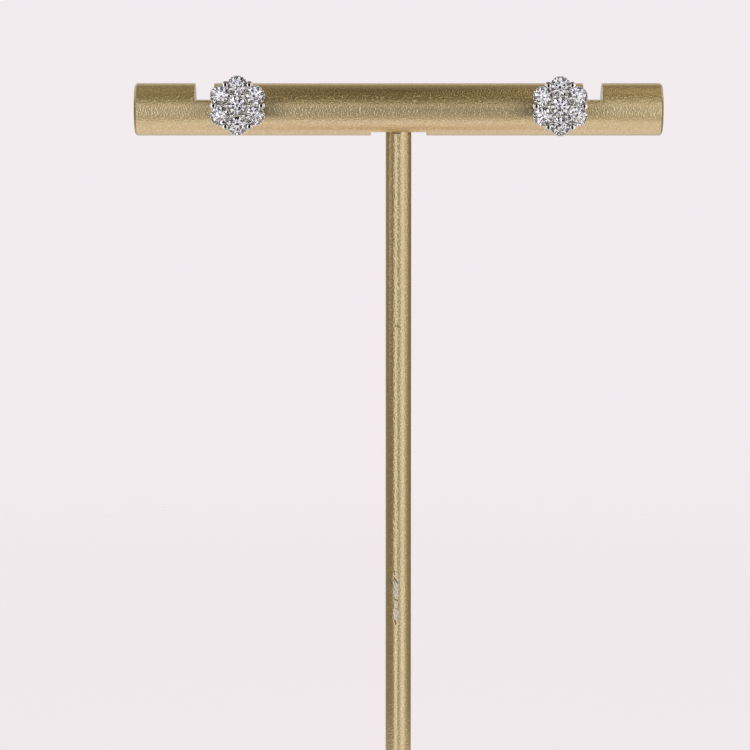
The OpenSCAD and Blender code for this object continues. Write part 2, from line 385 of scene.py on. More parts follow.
# %% The grain, as a node group
grain_group = bpy.data.node_groups.new("grit_grain", "ShaderNodeTree")
for label, default in (("Grains per mm", 6.0), ("Cloud per mm", 0.6)):
    socket = grain_group.interface.new_socket(name=label, in_out="INPUT", socket_type="NodeSocketFloat")
    socket.default_value = default
for label in ("Height", "Cloud"):
    grain_group.interface.new_socket(name=label, in_out="OUTPUT", socket_type="NodeSocketFloat")
g_nodes, g_links = grain_group.nodes, grain_group.links
grain_in, grain_out = g_nodes.new("NodeGroupInput"), g_nodes.new("NodeGroupOutput")
g_place = g_nodes.new("ShaderNodeTexCoord")
pits, cloud = g_nodes.new("ShaderNodeTexVoronoi"), g_nodes.new("ShaderNodeTexNoise")
cloud.inputs["Detail"].default_value = 3
for texture, scale, value, result in (
        (pits, "Grains per mm", "Distance", "Height"), (cloud, "Cloud per mm", "Fac", "Cloud")):
    per_metre = math_node(grain_group, "MULTIPLY", grain_in.outputs[scale], 1 / MM)
    g_links.new(per_metre, texture.inputs["Scale"])
    g_links.new(g_place.outputs["Object"], texture.inputs["Vector"])
    g_links.new(texture.outputs[value], grain_out.inputs[result])
print("the grain group has", len(g_nodes), "nodes")

# %% Metal with that grain
HEIGHT_SPAN, CLOUD_SPAN = (0.15, 0.85), (0.35, 0.65)


def grained_metal(name, colour, dark, roughness, spread, grains, clouds, bump):
    """A metal whose colour runs from dark to colour with the grain, and whose roughness wanders slowly."""
    material, t, shader = new_material(name, {"Metallic": 1})
    grain = t.nodes.new("ShaderNodeGroup")
    grain.node_tree = grain_group
    grain.inputs["Grains per mm"].default_value = grains
    grain.inputs["Cloud per mm"].default_value = clouds
    level = range_node(t, grain.outputs["Height"], HEIGHT_SPAN)
    t.links.new(mix_node(t, level, (*dark, 1), (*colour, 1)), shader.inputs["Base Color"])
    rough = range_node(t, grain.outputs["Cloud"], CLOUD_SPAN, (roughness - spread, roughness + spread))
    t.links.new(rough, shader.inputs["Roughness"])
    relief = t.nodes.new("ShaderNodeBump")
    relief.inputs["Strength"].default_value = 1
    relief.inputs["Distance"].default_value = bump
    t.links.new(grain.outputs["Height"], relief.inputs["Height"])
    t.links.new(relief.outputs[0], shader.inputs["Normal"])
    print(name, "has", len(t.nodes), "nodes")
    return material


GOLD = dict(
    colour=(0.83, 0.67, 0.39), dark=(0.60, 0.484, 0.283),
    roughness=0.18, spread=0.02, grains=5.0, clouds=0.5, bump=0.022 * MM)
satin_gold = grained_metal("satin_gold", **GOLD)

# %% [markdown]
# ## Worn gold, white metal and clear stone
# Where the plating has come off the mast, the metal below is paler and pinker, and grime sits in the nicks.
# The same dark colour paints the shade in the joint under the bar.
# Two numbers on the mast's own points say where, and the material mixes its colours by them. Towards the
# foot the mast looks smoother, so the bump fades with the height there. The settings are polished white
# metal: nearly a mirror, with the faintest trace of the polishing cloth. The stones are clear, with their
# facets already cut in the solids. What they need is the right refraction, 2.417, no roughness, enough
# bounces for light to find its way out again, and a breath of tint that wanders from one place to the next.

# %% The same gold where it is worn
BARE_METAL = (0.66, 0.60, 0.54)
GRIME_AND_JOINT_SHADE = (0.09, 0.07, 0.04)
# The colour of the shade that is painted in beside the heads
PAINTED_SHADE = (0.03, 0.02, 0.01)
RUBBED_BELOW, GRAIN_LEFT = (0.029, 0.041), 0.4


def show_marks(material, marks):
    """Mixes a colour into the metal where an attribute is 1, for each (attribute, colour) of marks."""
    t = material.node_tree
    shader = t.nodes["Principled BSDF"]
    for label, colour in marks:
        mask = t.nodes.new("ShaderNodeAttribute")
        mask.attribute_name = label
        so_far = shader.inputs["Base Color"].links[0].from_socket
        mixed = mix_node(t, mask.outputs["Fac"], so_far, (*colour, 1))
        t.links.new(mixed, shader.inputs["Base Color"])


def rub_low_down(material):
    """Lets the grain's height fall to GRAIN_LEFT of itself between the two heights of RUBBED_BELOW."""
    t = material.node_tree
    place = t.nodes.new("ShaderNodeTexCoord")
    split = t.nodes.new("ShaderNodeSeparateXYZ")
    t.links.new(place.outputs["Object"], split.inputs[0])
    rubbed = range_node(t, split.outputs["Z"], RUBBED_BELOW, (GRAIN_LEFT, 1))
    relief = t.nodes["Principled BSDF"].inputs["Normal"].links[0].from_node
    height = relief.inputs["Height"].links[0].from_socket
    t.links.new(math_node(t, "MULTIPLY", height, rubbed), relief.inputs["Height"])


worn_gold = grained_metal("worn_gold", **GOLD)
# Bare metal where worn; the dark colour marks the nicks' grime and paints the shade in the joint under the
# bar
show_marks(worn_gold, (("worn", BARE_METAL), ("grime_and_joint_shade", GRIME_AND_JOINT_SHADE)))
rub_low_down(worn_gold)
# Paints the shade beside the heads into the bar's gold
show_marks(satin_gold, (("painted_shade", PAINTED_SHADE),))

# %% Polished white metal
white_metal = grained_metal(
    "white_metal", colour=(0.88, 0.87, 0.86), dark=(0.80, 0.785, 0.77),
    roughness=0.06, spread=0.025, grains=9.0, clouds=1.5, bump=0.0006 * MM)

# %% The stones
DIAMOND_IOR = 2.417
CLEAR_STONE = (1.0, 1.0, 1.0)
FAINT_TINT = (0.955, 0.955, 0.965)
STONE_CLOUDS = 0.8

stone_glass, t, stone_shader = new_material(
    "cut_stone", {"Transmission Weight": 1, "IOR": DIAMOND_IOR, "Roughness": 0.0})
stone_cloud = t.nodes.new("ShaderNodeGroup")
stone_cloud.node_tree = grain_group
stone_cloud.inputs["Cloud per mm"].default_value = STONE_CLOUDS
stone_tint = mix_node(t, stone_cloud.outputs["Cloud"], (*FAINT_TINT, 1), (*CLEAR_STONE, 1))
t.links.new(stone_tint, stone_shader.inputs["Base Color"])
stones = [node for name, node in nodes.items() if name.startswith("stone_")]
for stone in stones:
    for slot in stone.material_slots:
        slot.material = stone_glass
print(len(stones), "stones are clear")

scene.cycles.max_bounces = 24
scene.cycles.glossy_bounces = 16
scene.cycles.transmission_bounces = 16
scene.view_settings.view_transform = "Standard"

# %% [markdown]
# ## Surfaces from arrays
# Everything on this object is turned, drilled, bent or soldered from round stock, so every new piece is a
# grid of points that a formula gives: a path turned round an axis, or a section carried along a path. A
# solid model has sharp corners, and a real one has none, so a path gets its corners rounded before it is
# turned. Points that fall together, such as the poles and the seams, are merged at the end, which closes
# each surface.

# %% Soft paths and turned forms
JUST_OUTSIDE = 1.3


def soft_path(corners, cuts, steps=5):
    """
    A path of points with soft corners. Corner c gives way to (1-s)^2 a + 2s(1-s) c + s^2 b for s from 0 to
    1, where a and b lie on the two sides that meet in c, one cut away from it. A cut of 0 leaves the corner
    as it is. One more point just outside a and b keeps the flat sides flat in smooth shading.
    """
    corner = np.array(corners, float)[:, None, :]
    cut = np.array(cuts, float)[:, None, None]
    before = np.roll(corner, 1, axis=0) - corner
    after = np.roll(corner, -1, axis=0) - corner
    before /= np.linalg.norm(before, axis=2, keepdims=True)
    after /= np.linalg.norm(after, axis=2, keepdims=True)
    s = np.linspace(0, 1, steps)[None, :, None]
    curve = corner + cut * ((1 - s) ** 2 * before + s ** 2 * after)
    outside = [corner + JUST_OUTSIDE * cut * side for side in (before, after)]
    return np.concatenate([outside[0], curve, outside[1]], axis=1).reshape(-1, 2)


def turned(path, around=64):
    """A grid of points: each (r, z) of the path goes round the z axis, at x = r cos a and y = r sin a."""
    a = full_turn(around)
    r, z = path[:, :1], path[:, 1:]
    return np.stack([r * np.cos(a), r * np.sin(a), z + 0 * a], axis=-1)


def skin(grid, ring=False, keep=None):
    """Points and quads of a grid whose columns close into a ring, and whose rows do too if ring says so.
    keep is an array of yes and no, one for each quad."""
    rows, columns = grid.shape[:2]
    here = np.arange(rows * columns).reshape(rows, columns)
    right = np.roll(here, -1, axis=1)
    quads = np.stack([here, right, np.roll(right, -1, axis=0), np.roll(here, -1, axis=0)], axis=-1)
    if not ring:
        quads = quads[:-1]
    quads = quads.reshape(-1, 4) if keep is None else quads[keep]
    return grid.reshape(-1, 3), quads


def joined(shells):
    """Several (points, quads) as one."""
    starts = np.cumsum([0] + [len(points) for points, quads in shells])
    quads = [quads + start for (points, quads), start in zip(shells, starts)]
    return np.concatenate([points for points, _ in shells]), np.concatenate(quads)


# %% Making a piece of the shells
MERGE_WITHIN = 5e-8
SHARP_ANGLE = math.radians(50)


def make_piece(name, shells, material, stands_for, marks=()):
    """One smooth piece of closed shells, in millimetres, in place of a solid. marks are (name, value of
    each point). Points that fall together become one, and each closed shell is then turned outwards."""
    points, quads = joined(shells)
    mesh = bpy.data.meshes.new(name)
    mesh.from_pydata((points * MM).tolist(), [], quads.tolist())
    for label, values in marks:
        mesh.attributes.new(label, "FLOAT", "POINT").data.foreach_set("value", values.ravel())
    shape = bmesh.new()
    shape.from_mesh(mesh)
    bmesh.ops.remove_doubles(shape, verts=shape.verts, dist=MERGE_WITHIN)
    bmesh.ops.recalc_face_normals(shape, faces=shape.faces)
    open_edges = sum(not edge.is_manifold for edge in shape.edges)
    shape.to_mesh(mesh)
    shape.free()
    mesh.polygons.foreach_set("use_smooth", np.ones(len(mesh.polygons), bool))
    mesh.set_sharp_from_angle(angle=SHARP_ANGLE)
    mesh.materials.append(material)
    piece = placed(name, mesh)
    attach(piece, "root")
    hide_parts(stands_for)
    print(name, "has", len(mesh.polygons), "faces and", open_edges, "open edges")
    return piece


# %% [markdown]
# ## The base
# The photo ends above the foot, so it is a plain turned disc: a flat underside with a small chamfer, a well
# rounded upper edge, and a blind socket for the mast. One path turned round the axis gives all of it.

# %% The base
BASE_EDGE = 1.2
BASE_CHAMFER = 0.4
SOCKET_GAP = 0.03

base_hi = np.array(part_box("stand_base")[1]) / MM
base_r = base_hi[0]
base_top = base_hi[2]
mast_r = MAST_R / MM
socket_r = mast_r + SOCKET_GAP
socket_z = mast_lo.z / MM - SOCKET_GAP
base_path = soft_path(
    [(0, 0), (base_r - BASE_CHAMFER, 0), (base_r, BASE_CHAMFER), (base_r, base_top), (socket_r, base_top),
     (socket_r, socket_z), (0, socket_z)],
    [0, 0.12, 0.12, BASE_EDGE, 0.12, 0, 0], steps=9)
base = make_piece("turned_base", [skin(turned(base_path, 160))], satin_gold, "stand_base")
light_only([table_light], [table, base])
base.visible_glossy = False

# %% [markdown]
# ## The mast and its worn plating
# Low in the picture the plating has come off the mast in three patches and a spot, with dark nicks round
# them. One more nick is higher up, and where the mast meets the bar the shade in the joint is painted in as
# a dark line. A texture alone would leave the patches' edges flat, so the surface itself is pressed in
# there.
# The same arrays that press it in are kept on its points as the wear and as the grime and painted joint
# shade, and the material reads them.

# %% Where the mast is worn
PLATING_DEPTH = 0.02
NICK_DEPTH = 0.03
PATCH_EDGE = 0.12
COARSE_WAVES, FINE_WAVES = 0.5, 0.2
SPECKLE, SPECKLE_WAVES = 0.9, 0.22
NICK_FULL, NICK_UNEVEN = 1.3, 0.3
# Across and height of the middle, half width and half height, in mm on the mast's front, and how bare it is
BARE_PATCHES = (
    (-0.34, 40.95, 0.30, 1.22, 0.95),
    (-0.30, 39.20, 0.16, 0.20, 0.60),
    (-0.24, 37.95, 0.36, 0.72, 0.85),
    (-0.92, 41.75, 0.26, 0.80, 0.55))
# Across and height of both ends, and half width
NICKS_AND_JOINT_SHADE = (
    (-0.60, 43.10, -0.42, 42.60, 0.045),
    (-0.50, 42.20, -0.05, 41.65, 0.085),
    (-0.95, 42.00, -0.78, 41.60, 0.05),
    (-0.58, 39.75, 0.00, 39.60, 0.05),
    (-0.42, 37.25, -0.30, 36.80, 0.07),
    (-0.40, 38.68, -0.12, 38.64, 0.035),
    (-0.42, 71.84, -0.05, 71.90, 0.05),
    (-0.05, 71.90, 0.14, 71.68, 0.06),
    # The last line is no nick: it is the shade painted into the joint under the bar
    (-0.68, 94.26, 0.15, 94.26, 0.08))


def ripple(across, up, size, seed):
    """Uneven waves round 0: twice the mean of eight sines of across and up, with random directions, paces
    and phases."""
    random = np.random.default_rng(seed)
    turns = random.uniform(0, 2 * np.pi, 8)
    phases = random.uniform(0, 2 * np.pi, 8)
    pace = random.uniform(0.6, 1.9, 8) * 2 * np.pi / size
    waves = [np.sin(p * (across * np.cos(t) + up * np.sin(t)) + f) for p, t, f in zip(pace, turns, phases)]
    return np.mean(waves, axis=0) * 2


def bare(across, up):
    """How bare the metal is, 0 to 1: inside an oval-cornered box (x/w)^4 + (z/h)^4 < 1 whose edge two
    ripples make ragged, and speckled by a third one."""
    share = np.zeros(np.broadcast(across, up).shape)
    for number, (x, z, w, h, most) in enumerate(BARE_PATCHES):
        past = w * ((((across - x) / w) ** 4 + ((up - z) / h) ** 4) ** 0.25 - 1)
        ragged = ripple(across, up, COARSE_WAVES, number) + ripple(across, up, FINE_WAVES, number + 10)
        past += PATCH_EDGE * ragged
        speckle = np.clip(1.0 + SPECKLE * ripple(across, up, SPECKLE_WAVES, number + 40), 0, 1)
        share = np.maximum(share, most * speckle * np.clip(0.5 - past / PATCH_EDGE, 0, 1))
    return share


def nick_and_joint_shade(across, up):
    """How deep a point lies in one of the dark lines, 0 to 1: the nicks that hold grime, and the shade
    painted into the joint under the bar. It falls with the distance from the line over its half width, and a
    ripple makes it uneven."""
    share = np.zeros(np.broadcast(across, up).shape)
    for x1, z1, x2, z2, half in NICKS_AND_JOINT_SHADE:
        length = np.hypot(x2 - x1, z2 - z1)
        along = np.clip(((across - x1) * (x2 - x1) + (up - z1) * (z2 - z1)) / length ** 2, 0, 1)
        off = np.hypot(across - x1 - along * (x2 - x1), up - z1 - along * (z2 - z1))
        uneven = NICK_UNEVEN * ripple(across, up, FINE_WAVES, 9)
        share = np.maximum(share, np.clip(NICK_FULL - off / half + uneven, 0, 1))
    return share


# %% The mast
MAST_AROUND, MAST_ROWS, MAST_CHAMFER = 176, 40, 0.1
LIP_SHARE, PIT_SHARE, PIT_WAVES = 0.3, 0.4, 0.16
# From, to and step of the heights that need finer rows: the patches, one scratch, and the joint at the top
FINE_ROWS = ((36.0, 43.7, 0.045), (71.5, 72.1, 0.05), (94.1, 94.5, 0.04))

mast_bottom, mast_top = mast_lo.z / MM, mast_hi.z / MM
levels = np.linspace(mast_bottom + MAST_CHAMFER, mast_top - MAST_CHAMFER, MAST_ROWS)
levels = np.unique(np.concatenate([levels, *[np.arange(*band) for band in FINE_ROWS]]))
turn = full_turn(MAST_AROUND)
across = mast_r * np.sin(turn) + 0 * levels[:, None]
in_front = np.cos(turn) > 0
up = levels[:, None] + 0 * turn
worn = bare(across, up) * in_front
grime_and_joint_shade = nick_and_joint_shade(across, up) * in_front
lifted = 4 * worn * (1 - worn)
radius = mast_r - PLATING_DEPTH * worn - NICK_DEPTH * grime_and_joint_shade + LIP_SHARE * PLATING_DEPTH * lifted
radius -= PIT_SHARE * PLATING_DEPTH * worn * (0.5 + 0.5 * ripple(across, up, PIT_WAVES, 21))
wall = np.stack([radius * np.sin(turn), -radius * np.cos(turn), up], axis=-1)
end_r = mast_r - MAST_CHAMFER
ends = [(0, mast_bottom), (end_r, mast_bottom), (end_r, mast_top), (0, mast_top)]
caps = [np.stack([r * np.sin(turn), -r * np.cos(turn), z + 0 * turn], axis=-1)[None] for r, z in ends]
mast_grid = np.concatenate([caps[0], caps[1], wall, caps[2], caps[3]])
none_there = np.zeros((2, MAST_AROUND))
mast = make_piece(
    "worn_mast", [skin(mast_grid)], worn_gold, "stand_mast",
    marks=[(label, np.concatenate([none_there, mark, none_there]))
           for label, mark in (("worn", worn), ("grime_and_joint_shade", grime_and_joint_shade))])
light_only(mast_panels, [mast])
print("bare metal on", round(100 * float((worn > 0.5).mean()), 1), "% of the mast's points")

# %% [markdown]
# ## The crossbar
# The bar is a rod with two notches milled from its top, a flat milled under it where the mast goes in, and
# a hole drilled through it for each post. Every point lies on a ray from the axis, so one formula gives the
# bar: the rod's radius less the depth of the cut in that direction. Soft edges come from that depth too.
# The two holes are drilled the way a quad mesh likes it: a block of the grid is left out in front and
# behind, and a ring of quads runs from the block's edge to the round hole, through the bar, and out to the
# other block. The rod's ends were turned with a small flat chamfer, which shows the dim side of the room as
# a thin dark line. Close beside each head the metal is darker, since the head keeps the room's side light
# off it. A gloss as sharp as this one loses that shade, so it is painted into the finish's colour: the
# points carry it as a mark, and the material darkens the colour there.

# %% The bar's rows: where a point lies along the bar, and how deep the cuts go there
BAR_EDGE, BAR_EDGE_SOFT = 0.25, 0.05
NOTCH_X, NOTCH_W, NOTCH_DEPTH = 22.45, 2.2, 1.95
SADDLE_W, SADDLE_DEPTH = 6.45, 0.42
POST_RISE, POST_HOLE_R = 0.49, 0.55
MILLED_EDGE = 0.09
DRILL_BLOCK = 0.8
PAST_FLOOR = 0.05
ROW_BEFORE_WALL, ROW_AFTER_WALL = 0.04, 0.14

bar_r, bar_half = BAR_R / MM, BAR_HALF / MM
bar_z = BAR_Z / MM
stone_lo, stone_hi = (np.array(corner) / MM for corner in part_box("stone_centre_right"))
post_x = (stone_lo[0] + stone_hi[0]) / 2
arc = np.linspace(0, np.pi / 2, 6)


def rows(x, notch=0, saddle=0, end=0):
    """Rows of (place along the bar, notch's depth, saddle's depth, radius lost at the bar's end)."""
    return np.stack([value + 0 * np.asarray(x, float) for value in (x, notch, saddle, end)], axis=1)


def cut_wall(x, way, depth):
    """Places and depths up one wall of a cut, from just below its floor, and out over its rounded edge. way
    is 1 where the bar goes on towards +x."""
    up_wall = np.linspace(depth + PAST_FLOOR, MILLED_EDGE, 5)
    edge = x + way * MILLED_EDGE * (1 - np.cos(arc))
    places = np.concatenate([[x - way * ROW_BEFORE_WALL], x + 0 * up_wall, edge, [x + way * ROW_AFTER_WALL]])
    depths = np.concatenate([[depth + PAST_FLOOR], up_wall, MILLED_EDGE * (1 - np.sin(arc)), [0]])
    return places, depths


saddle_x, saddle_cut = cut_wall(SADDLE_W / 2, 1, SADDLE_DEPTH)
inner_x, inner_cut = cut_wall(NOTCH_X - NOTCH_W / 2, -1, NOTCH_DEPTH)
outer_x, outer_cut = cut_wall(NOTCH_X + NOTCH_W / 2, 1, NOTCH_DEPTH)
# A soft path has 7 points to a corner, and its two middle corners are the edge
end_edge = soft_path(
    [(bar_half - 1, 0), (bar_half - BAR_EDGE, 0), (bar_half, BAR_EDGE), (bar_half, 1)],
    [0, BAR_EDGE_SOFT, BAR_EDGE_SOFT, 0])[7:21]
half_rows = np.concatenate([
    rows(np.linspace(0, 3, 5), saddle=SADDLE_DEPTH + PAST_FLOOR),
    rows(saddle_x, saddle=saddle_cut),
    rows(np.linspace(4, post_x - DRILL_BLOCK - 0.5, 20)),
    rows(np.linspace(post_x - DRILL_BLOCK, post_x + DRILL_BLOCK, 17)),
    rows(np.linspace(post_x + DRILL_BLOCK + 0.4, inner_x.min() - 0.1, 3)),
    rows(inner_x[::-1], notch=inner_cut[::-1]),
    rows(np.linspace(inner_x.max() + 0.1, outer_x.min() - 0.1, 6), notch=NOTCH_DEPTH + PAST_FLOOR),
    rows(outer_x, notch=outer_cut),
    rows(np.linspace(outer_x.max() + 0.3, bar_half - BAR_EDGE - 0.1, 8)),
    rows(end_edge[:, 0], end=end_edge[:, 1]),
    rows([bar_half, bar_half, bar_half], end=np.array([BAR_EDGE + 0.1, bar_r / 2, bar_r]))])
bar_rows = np.concatenate([half_rows[:0:-1] * (-1, 1, 1, 1), half_rows])
print(len(bar_rows), "rows along the bar")

# %% The bar's columns: the direction of a point from the axis, counted from straight up towards the front
FLOOR_SOFT = 0.05


def floor_depth(angle, depth):
    """How deep a flat cut's floor lies below the round, along the ray at this angle from the cut's own
    direction. The floor is a plane at the height h = r - depth, so this is r - h / cos(angle), made softly
    0 where it is less."""
    drop = bar_r - (bar_r - depth) / np.maximum(np.cos(angle), 0.04)
    return 0.5 * (drop + np.sqrt(drop ** 2 + FLOOR_SOFT ** 2)) * (drop > -1)


notch_edge = np.degrees(np.arccos(1 - NOTCH_DEPTH / bar_r))
saddle_edge = 180 - np.degrees(np.arccos(1 - SADDLE_DEPTH / bar_r))
fine = np.linspace(-4, 4, 13)
front_angles = np.concatenate([np.linspace(0, 180, 97), notch_edge + fine, saddle_edge + fine])
front_angles = np.unique(np.round(front_angles, 3))
angles = np.radians(np.concatenate([front_angles, 360 - front_angles[-2:0:-1]]))
COLUMNS = len(angles)
x_, notch_, saddle_, end_ = (bar_rows[:, i:i + 1] for i in range(4))
bar_radius = bar_r - end_
bar_radius = bar_radius - np.minimum(notch_, floor_depth(angles, NOTCH_DEPTH))
bar_radius = bar_radius - np.minimum(saddle_, floor_depth(angles - np.pi, SADDLE_DEPTH))
bar_grid = np.stack(
    [x_ + 0 * angles, -bar_radius * np.sin(angles), bar_z + bar_radius * np.cos(angles)], axis=-1)
print(COLUMNS, "columns round it")

# %% The two drilled holes
RINGS_AT = (0, 0.35, 0.7, 1)
hole_z = bar_z + POST_RISE


def nearest(values, wanted):
    """The number of the value that is closest to the wanted one."""
    return int(np.argmin(np.abs(values - wanted)))


row_from, row_to = (nearest(bar_rows[:, 0], post_x + way * DRILL_BLOCK) for way in (-1, 1))
front_heights = bar_r * np.cos(angles[:COLUMNS // 2]) - POST_RISE
col_from, col_to = (nearest(front_heights, way * DRILL_BLOCK) for way in (1, -1))
tall, wide = row_to - row_from, col_to - col_from
rim_rows = row_from + np.concatenate(
    [np.arange(tall), np.full(wide, tall), np.arange(tall, 0, -1), np.zeros(wide, int)])
rim_cols = col_from + np.concatenate(
    [np.zeros(tall, int), np.arange(wide), np.full(tall, wide), np.arange(wide, 0, -1)])


def drilled(way):
    """
    The skin of one hole. Each point (x, z) of the block's edge runs straight to the point of the hole's
    circle that lies in the same direction, over the rounded edge, and through the bar. y is the bar's
    surface, -sqrt(r^2 - z^2), until the edge turns in. The back is the front with y turned round.
    """
    x, z = bar_grid[rim_rows, rim_cols, 0], bar_grid[rim_rows, rim_cols, 2]
    beta = np.arctan2(z - hole_z, x - post_x)
    share = np.array(RINGS_AT)[:, None]
    over = arc[1:, None]
    circle_r = POST_HOLE_R + MILLED_EDGE
    ring_x = x + (post_x + circle_r * np.cos(beta) - x) * share
    ring_z = z + (hole_z + circle_r * np.sin(beta) - z) * share
    edge_r = circle_r - MILLED_EDGE * np.sin(over)
    ring_x = np.concatenate([ring_x, post_x + edge_r * np.cos(beta)])
    ring_z = np.concatenate([ring_z, hole_z + edge_r * np.sin(beta)])
    ring_y = -np.sqrt(bar_r ** 2 - (ring_z - bar_z) ** 2)
    ring_y[-len(over):] += MILLED_EDGE * (1 - np.cos(over))
    front_ring = np.stack([way * ring_x, ring_y, ring_z], axis=-1)
    return skin(np.concatenate([front_ring, front_ring[::-1] * (1, -1, 1)]))


ROWS = len(bar_rows)
keep = np.ones((ROWS - 1, COLUMNS), bool)
for first_row in (row_from, ROWS - 1 - row_to):
    for first_col in (col_from, COLUMNS - col_to):
        keep[first_row:first_row + tall, first_col:first_col + wide] = False
bar_shell = joined([skin(bar_grid, keep=keep), drilled(1), drilled(-1)])
print("each hole takes the place of", tall, "by", wide, "quads")

# %% The painted shade beside the heads, and the bar itself
HEAD_RIM, SHADE_REACH, SHADE_FALL = 3.2, 2.9, 2.1
SHADE_INSIDE, SHADE_OUTSIDE = 0.42, 0.2
SHADE_FROM, SHADE_TO, SHADE_SOFT = -0.9, 1.45, 0.3


def shade(points):
    """
    How much shade is painted into the metal's colour, 0 to 1. It is full at the head's rim and falls to 0
    over the last SHADE_FALL of SHADE_REACH. It is stronger towards the bar's middle, and holds on a band of
    heights in front.
    """
    x, y, z = points.T
    out = np.hypot(np.abs(x) - post_x, z - hole_z) - HEAD_RIM
    near = np.clip((SHADE_REACH - out) / SHADE_FALL, 0, 1)
    up = z - bar_z
    band = np.clip((up - SHADE_FROM) / SHADE_SOFT, 0, 1) * np.clip((SHADE_TO - up) / SHADE_SOFT, 0, 1)
    return np.where(np.abs(x) < post_x, SHADE_INSIDE, SHADE_OUTSIDE) * near * band * (y < 0)


bar = make_piece(
    "milled_bar", [bar_shell], satin_gold, "stand_bar",
    marks=[("painted_shade", shade(bar_shell[0]))])
light_only(bar_panels, [bar])

# %% [markdown]
# ## The flower heads
# A head is small parts soldered together: seven short collars that the stones sit in, six outer and six
# inner prongs with a ball at each tip, webs in the notches between the petals, a pierced plate behind, and
# the post. The photo shows a black bar with a bright edge on each side of it in all six outer prongs. A
# round ball would shrink the dark gap of the room to a thread, so these balls are pressed flat in front and
# show it whole. Each part is worked out lying flat, with the stones facing +Z, and the whole head is then
# stood up in front of the bar.

# %% The sizes of a head, in mm, measured up from its back
PETALS = 6
PETAL_D, CENTRE_D = 2.14, 2.2
RING_R, PETAL_TILT = 2.28, 8
PETAL_Z, CENTRE_Z = 1.95, 2.15
RIM_W, STONE_GAP = 0.12, 0.02
GIRDLE_SHARE, BORE_SHARE, PAVILION = 0.03, 0.8, math.radians(40.75)
COLLAR_H, RIM_SOFT = 0.55, 0.04
OUTER_R, OUTER_FOOT, OUTER_BALL, OUTER_SHAFT = 2.75, 1.95, 0.32, 0.2
INNER_R, INNER_BALL, INNER_SHAFT = RING_R / math.sqrt(3), 0.24, 0.18
FOOT_Z, OUTER_BALL_Z, INNER_BALL_Z = 0.22, 2.2, 2.24
WEB_R, WEB_T, WEB_TOP = 0.42, 0.3, 1.8
PLATE_T, LOBE_AT, LOBE_R, PIERCED_R = 0.45, 1.75, 1.0, 0.45
POST_R, POST_L, POST_TIP = 0.4, 10, 0.3
GROOVE_DEPTH, GROOVE_W, GROOVE_FROM_TIP = 0.07, 0.5, 1.3
petal_angles = [90 - 60 * k for k in range(PETALS)]
crevice_angles = [angle - 30 for angle in petal_angles]


# %% Moving a shell about on the head
def spun(shell, degrees):
    """A shell turned about the head's own axis."""
    points, quads = shell
    c, s = math.cos(math.radians(degrees)), math.sin(math.radians(degrees))
    return points @ np.array([(c, s, 0), (-s, c, 0), (0, 0, 1)]), quads


def seated(shell, angle):
    """A shell drawn on a stone's axis, leant out by the petals' tilt and set on the ring at this angle."""
    points, quads = shell
    c, s = math.cos(math.radians(PETAL_TILT)), math.sin(math.radians(PETAL_TILT))
    leant = points @ np.array([(c, 0, -s), (0, 1, 0), (s, 0, c)]) + (RING_R, 0, PETAL_Z)
    return spun((leant, quads), angle)


def raised(shell, x, z):
    """A shell moved out by x and up by z."""
    return shell[0] + (x, 0, z), shell[1]


# %% The collars: a short tube whose bore narrows under the stone's girdle, with a rim cut into small claws
SCALLOPS, SCALLOP_DEPTH = 18, 0.07


def collar(d):
    """
    A turned loop: out along the foot, up the wall, over the rim, down to the girdle, and in along the
    stone's seat. The rim is then cut into scallops: what stands above the girdle sinks by
    depth * (1 - |cos(n a / 2)|) at the angle a.
    """
    wall, room, bore = d / 2 + RIM_W, d / 2 + STONE_GAP, BORE_SHARE * d / 2
    girdle = GIRDLE_SHARE * d / 2 + STONE_GAP / 2
    seat = girdle + (room - bore) * math.tan(PAVILION)
    loop = soft_path(
        [(bore, -COLLAR_H), (wall, -COLLAR_H), (wall, 0), (room, 0), (room, -girdle), (bore, -seat)],
        [0, 0.04, RIM_SOFT, RIM_SOFT, 0, 0])
    grid = turned(loop, 6 * SCALLOPS)
    a = full_turn(6 * SCALLOPS)
    above = np.clip((loop[:, 1:] + 2 * girdle) / girdle, 0, 1)
    grid[..., 2] -= above * SCALLOP_DEPTH * (1 - np.abs(np.cos(SCALLOPS * a / 2)))
    return skin(grid, ring=True)


# %% The prongs: a shaft carried along a bowed path, with a ball at its tip
PRONG_STEPS, TIP_STEPS, PRONG_AROUND = 40, 16, 28
SOFT_MAX = 8
OUTER_BOW, OUTER_PRESS = (2.73, 1.0), 5
INNER_BOW, INNER_PRESS = (INNER_R, 1.2), 2.5


